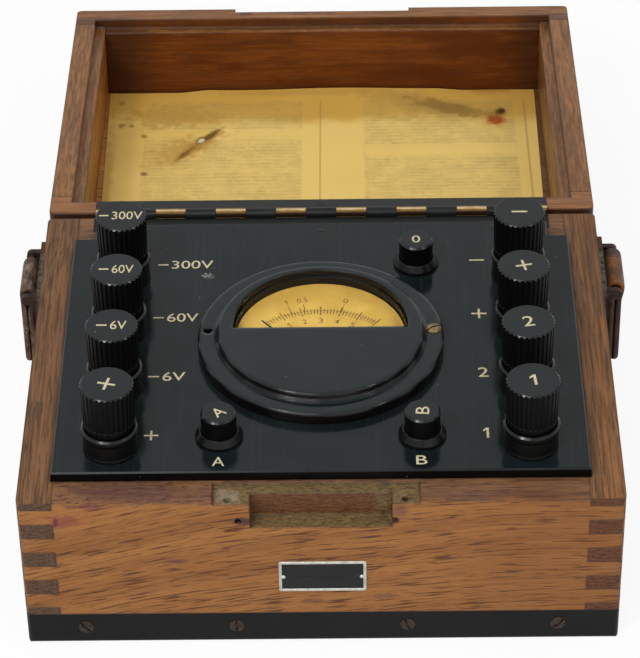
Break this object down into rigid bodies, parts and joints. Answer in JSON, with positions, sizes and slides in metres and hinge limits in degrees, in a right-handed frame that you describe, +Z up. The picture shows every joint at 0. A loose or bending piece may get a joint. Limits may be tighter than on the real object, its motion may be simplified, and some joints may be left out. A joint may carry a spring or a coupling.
{
  "type": "voltmeter",
  "caption": "Portable moving-coil voltmeter in a finger-jointed oak case: hinged lid, ebonite panel, screw terminals, push buttons, half-round dial window and leather carrying straps.",
  "frame": {"origin": "on the table, below the middle of the base box", "axes": "+X to the right seen from the front, +Y back across the hinge to the open lid, +Z up"},
  "size_m": [0.2236, 0.323, 0.0966],
  "materials": {
    "oak": "waxed oak, worn and stained, open dark pores",
    "deal": "bare softwood",
    "black_sheet": "black paint on pressed sheet",
    "ebonite": "satin black hard rubber, slightly greyed",
    "bakelite": "moulded black, polished",
    "hinge_brass": "worn brass, leaf blackened",
    "hinge_black": "blackened brass",
    "steel": "dull plated steel",
    "brass": "turned brass",
    "shellac": "shellacked windings",
    "glass": "clear",
    "dial_paint": "aged cream paint turned amber",
    "magnet_steel": "blued",
    "soft_iron": "machined",
    "copper_wire": "enamelled copper wire",
    "pointer_paint": "black paint",
    "leather": "cracked worn brown leather",
    "paper": "aged printed sheet, ochre"
  },
  "bodies": {
    "case": {"base_front": "oak", "base_rear": "oak", "base_left": "oak", "base_right": "oak", "cleat_left": "deal", "cleat_right": "deal", "corner_block_left": "deal", "corner_block_right": "deal", "tray": "black_sheet", "meter_case": "black_sheet", "panel": "ebonite", "meter_cover": "bakelite", "terminal_collars": "bakelite", "button_collars": "bakelite", "hinge_base": "hinge_brass", "hinge_pin": "steel", "bracket_left": "steel", "bracket_right": "steel", "studs": "brass", "contacts": "brass", "movement_plate": "brass", "bridge": "brass", "resistors": "shellac", "meter_glass": "glass", "dial": "dial_paint", "magnet": "magnet_steel", "pole_shoes": "soft_iron", "core": "soft_iron"},
    "lid": {"lid_front": "oak", "lid_rear": "oak", "lid_left": "oak", "lid_right": "oak", "lid_top": "oak", "lid_sheet": "paper", "hinge_lid": "hinge_black"},
    "washer_left_1": {"washer_left_1": "brass"},
    "knob_left_1": {"knob_left_1": "bakelite"},
    "washer_left_2": {"washer_left_2": "brass"},
    "knob_left_2": {"knob_left_2": "bakelite"},
    "washer_left_3": {"washer_left_3": "brass"},
    "knob_left_3": {"knob_left_3": "bakelite"},
    "washer_left_4": {"washer_left_4": "brass"},
    "knob_left_4": {"knob_left_4": "bakelite"},
    "washer_right_1": {"washer_right_1": "brass"},
    "knob_right_1": {"knob_right_1": "bakelite"},
    "washer_right_2": {"washer_right_2": "brass"},
    "knob_right_2": {"knob_right_2": "bakelite"},
    "washer_right_3": {"washer_right_3": "brass"},
    "knob_right_3": {"knob_right_3": "bakelite"},
    "washer_right_4": {"washer_right_4": "brass"},
    "knob_right_4": {"knob_right_4": "bakelite"},
    "button_1": {"button_1": "bakelite"},
    "button_2": {"button_2": "bakelite"},
    "button_3": {"button_3": "bakelite"},
    "needle": {"coil": "copper_wire", "pointer": "pointer_paint"},
    "strap_left": {"strap_left": "leather"},
    "strap_right": {"strap_right": "leather"}
  },
  "joints": [
    {"name": "lid_hinge", "type": "hinge", "parent": "case", "child": "lid", "pos_m": [0, 0.08175, 0.0653], "axis": [1, 0, 0], "range_deg": [0, 184.47]},
    {"name": "washer_left_1_lift", "type": "slide", "parent": "case", "child": "washer_left_1", "axis": [0, 0, 1], "range_m": [0, 0.0014]},
    {"name": "knob_left_1_turn", "type": "hinge", "parent": "washer_left_1", "child": "knob_left_1", "pos_m": [-0.0715, 0.0391, 0.0686], "axis": [0, 0, 1], "range_deg": [0, 630]},
    {"name": "washer_left_2_lift", "type": "slide", "parent": "case", "child": "washer_left_2", "axis": [0, 0, 1], "range_m": [0, 0.0014]},
    {"name": "knob_left_2_turn", "type": "hinge", "parent": "washer_left_2", "child": "knob_left_2", "pos_m": [-0.0715, 0.0076, 0.0686], "axis": [0, 0, 1], "range_deg": [0, 630]},
    {"name": "washer_left_3_lift", "type": "slide", "parent": "case", "child": "washer_left_3", "axis": [0, 0, 1], "range_m": [0, 0.0014]},
    {"name": "knob_left_3_turn", "type": "hinge", "parent": "washer_left_3", "child": "knob_left_3", "pos_m": [-0.0715, -0.0239, 0.0686], "axis": [0, 0, 1], "range_deg": [0, 630]},
    {"name": "washer_left_4_lift", "type": "slide", "parent": "case", "child": "washer_left_4", "axis": [0, 0, 1], "range_m": [0, 0.0014]},
    {"name": "knob_left_4_turn", "type": "hinge", "parent": "washer_left_4", "child": "knob_left_4", "pos_m": [-0.0715, -0.0554, 0.0686], "axis": [0, 0, 1], "range_deg": [0, 630]},
    {"name": "washer_right_1_lift", "type": "slide", "parent": "case", "child": "washer_right_1", "axis": [0, 0, 1], "range_m": [0, 0.0014]},
    {"name": "knob_right_1_turn", "type": "hinge", "parent": "washer_right_1", "child": "knob_right_1", "pos_m": [0.0715, 0.0391, 0.0686], "axis": [0, 0, 1], "range_deg": [0, 630]},
    {"name": "washer_right_2_lift", "type": "slide", "parent": "case", "child": "washer_right_2", "axis": [0, 0, 1], "range_m": [0, 0.0014]},
    {"name": "knob_right_2_turn", "type": "hinge", "parent": "washer_right_2", "child": "knob_right_2", "pos_m": [0.0715, 0.0076, 0.0686], "axis": [0, 0, 1], "range_deg": [0, 630]},
    {"name": "washer_right_3_lift", "type": "slide", "parent": "case", "child": "washer_right_3", "axis": [0, 0, 1], "range_m": [0, 0.0014]},
    {"name": "knob_right_3_turn", "type": "hinge", "parent": "washer_right_3", "child": "knob_right_3", "pos_m": [0.0715, -0.0239, 0.0686], "axis": [0, 0, 1], "range_deg": [0, 630]},
    {"name": "washer_right_4_lift", "type": "slide", "parent": "case", "child": "washer_right_4", "axis": [0, 0, 1], "range_m": [0, 0.0014]},
    {"name": "knob_right_4_turn", "type": "hinge", "parent": "washer_right_4", "child": "knob_right_4", "pos_m": [0.0715, -0.0554, 0.0686], "axis": [0, 0, 1], "range_deg": [0, 630]},
    {"name": "button_1_press", "type": "slide", "parent": "case", "child": "button_1", "axis": [0, 0, -1], "range_m": [0, 0.003], "stiffness_N_per_m": 300, "springref_m": -0.002},
    {"name": "button_2_press", "type": "slide", "parent": "case", "child": "button_2", "axis": [0, 0, -1], "range_m": [0, 0.003], "stiffness_N_per_m": 300, "springref_m": -0.002},
    {"name": "button_3_press", "type": "slide", "parent": "case", "child": "button_3", "axis": [0, 0, -1], "range_m": [0, 0.003], "stiffness_N_per_m": 300, "springref_m": -0.002},
    {"name": "needle_swing", "type": "hinge", "parent": "case", "child": "needle", "pos_m": [0, -0.015, 0.0686], "axis": [0, 0, -1], "range_deg": [0, 80], "stiffness_Nm_per_rad": 0.0002},
    {"name": "strap_left_swing", "type": "hinge", "parent": "case", "child": "strap_left", "pos_m": [-0.10855, 0.058, 0.0545], "axis": [0, 1, 0], "range_deg": [0, 170]},
    {"name": "strap_right_swing", "type": "hinge", "parent": "case", "child": "strap_right", "pos_m": [0.10855, 0.058, 0.0545], "axis": [0, -1, 0], "range_deg": [0, 170]}
  ],
  "couplings": [
    {"joint": "washer_left_1_lift", "follows": "knob_left_1_turn", "m_per_rad": 0.00012732},
    {"joint": "washer_left_2_lift", "follows": "knob_left_2_turn", "m_per_rad": 0.00012732},
    {"joint": "washer_left_3_lift", "follows": "knob_left_3_turn", "m_per_rad": 0.00012732},
    {"joint": "washer_left_4_lift", "follows": "knob_left_4_turn", "m_per_rad": 0.00012732},
    {"joint": "washer_right_1_lift", "follows": "knob_right_1_turn", "m_per_rad": 0.00012732},
    {"joint": "washer_right_2_lift", "follows": "knob_right_2_turn", "m_per_rad": 0.00012732},
    {"joint": "washer_right_3_lift", "follows": "knob_right_3_turn", "m_per_rad": 0.00012732},
    {"joint": "washer_right_4_lift", "follows": "knob_right_4_turn", "m_per_rad": 0.00012732}
  ]
}
